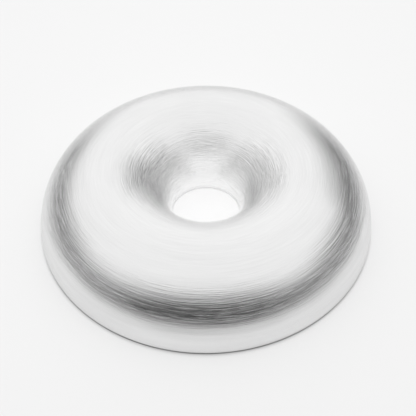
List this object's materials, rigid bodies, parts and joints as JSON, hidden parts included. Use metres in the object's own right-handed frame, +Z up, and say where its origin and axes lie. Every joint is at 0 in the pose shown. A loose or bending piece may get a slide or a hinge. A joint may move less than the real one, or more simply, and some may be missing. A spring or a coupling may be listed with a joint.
{
  "type": "banding wheel",
  "caption": "Low-profile banding wheel: a brushed metal half-torus head with an open centre, turning on a hidden ring bearing over a base ring on rubber feet.",
  "frame": {"origin": "centre of the wheel at bench level, under the feet", "axes": "+Z up along the turning axis; +X and +Y in the plane of the bench, with a foot between each pair of axes"},
  "size_m": [0.25, 0.25, 0.0495],
  "materials": {
    "shell": "spun aluminium, brushed in circles, light satin",
    "plate": "bright zinc-plated steel plate",
    "ballast": "painted grey iron casting, machined faces",
    "base": "black painted iron casting",
    "races": "ground bearing steel",
    "balls": "polished bearing balls",
    "cage": "machined brass, light turning marks",
    "feet": "moulded black rubber, matt",
    "fasteners": "zinc-plated steel"
  },
  "bodies": {
    "base": {"base_ring": "base", "inner_race": "races", "inner_race_screw_1": "fasteners", "inner_race_screw_2": "fasteners", "inner_race_screw_3": "fasteners", "inner_race_screw_4": "fasteners", "rubber_foot_1": "feet", "rubber_foot_2": "feet", "rubber_foot_3": "feet", "rubber_foot_4": "feet", "foot_screw_1": "fasteners", "foot_screw_2": "fasteners", "foot_screw_3": "fasteners", "foot_screw_4": "fasteners"},
    "ball_train": {"ball_cage": "cage", "ball_01": "balls", "ball_02": "balls", "ball_03": "balls", "ball_04": "balls", "ball_05": "balls", "ball_06": "balls", "ball_07": "balls", "ball_08": "balls", "ball_09": "balls", "ball_10": "balls", "ball_11": "balls", "ball_12": "balls", "ball_13": "balls", "ball_14": "balls"},
    "head": {"head_shell": "shell", "head_plate": "plate", "ballast_ring": "ballast", "outer_race": "races", "outer_race_screw_1": "fasteners", "outer_race_screw_2": "fasteners", "outer_race_screw_3": "fasteners", "outer_race_screw_4": "fasteners", "shell_stud_1": "fasteners", "shell_stud_2": "fasteners", "shell_stud_3": "fasteners", "shell_stud_4": "fasteners", "stud_nut_1": "fasteners", "stud_nut_2": "fasteners", "stud_nut_3": "fasteners", "stud_nut_4": "fasteners"}
  },
  "joints": [
    {"name": "head_spin", "type": "hinge", "parent": "base", "child": "head", "pos_m": [0, 0, 0.0175], "axis": [0, 0, 1], "continuous": true},
    {"name": "ball_train_spin", "type": "hinge", "parent": "base", "child": "ball_train", "pos_m": [0, 0, 0.0175], "axis": [0, 0, 1], "continuous": true}
  ],
  "couplings": [
    {"joint": "ball_train_spin", "follows": "head_spin", "ratio": 0.5265}
  ]
}
